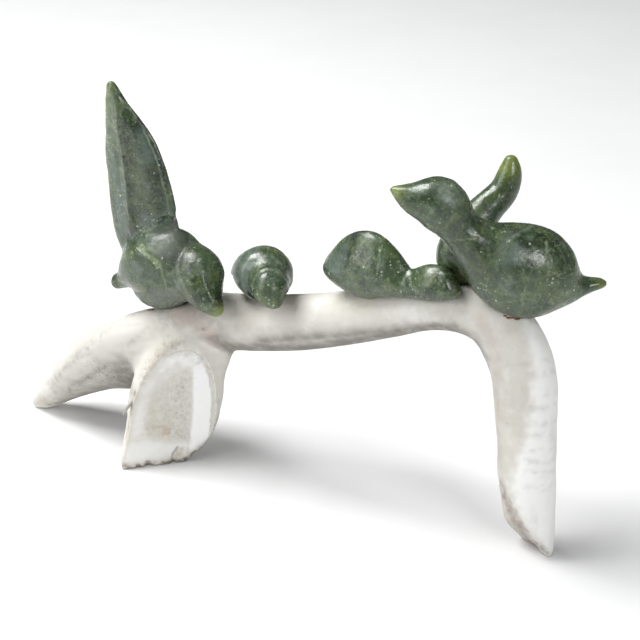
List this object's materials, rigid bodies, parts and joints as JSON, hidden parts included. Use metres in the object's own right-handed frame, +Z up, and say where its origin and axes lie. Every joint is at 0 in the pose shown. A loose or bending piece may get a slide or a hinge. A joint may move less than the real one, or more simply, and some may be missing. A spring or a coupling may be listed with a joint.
{
  "type": "soapstone bird carving",
  "caption": "Dark green soapstone birds perched along a pale antler branch that stands on its own feet; a decorative sculpture.",
  "frame": {"origin": "on the floor that the antler's feet stand on, under the middle of the bounding box", "axes": "+Z up; +X from the back tine's foot and the raised-wing bird towards the large bird and the right leg; -Y towards the side with the sawn face, from which the carving is looked at"},
  "size_m": [0.367, 0.1906, 0.2542],
  "materials": {
    "antler": "matte",
    "green_stone": "polished"
  },
  "bodies": {
    "root": {"antler": "antler", "raised_wing_bird": "green_stone", "small_bird": "green_stone", "hunched_bird": "green_stone", "large_bird": "green_stone", "calling_bird": "green_stone"}
  },
  "joints": []
}
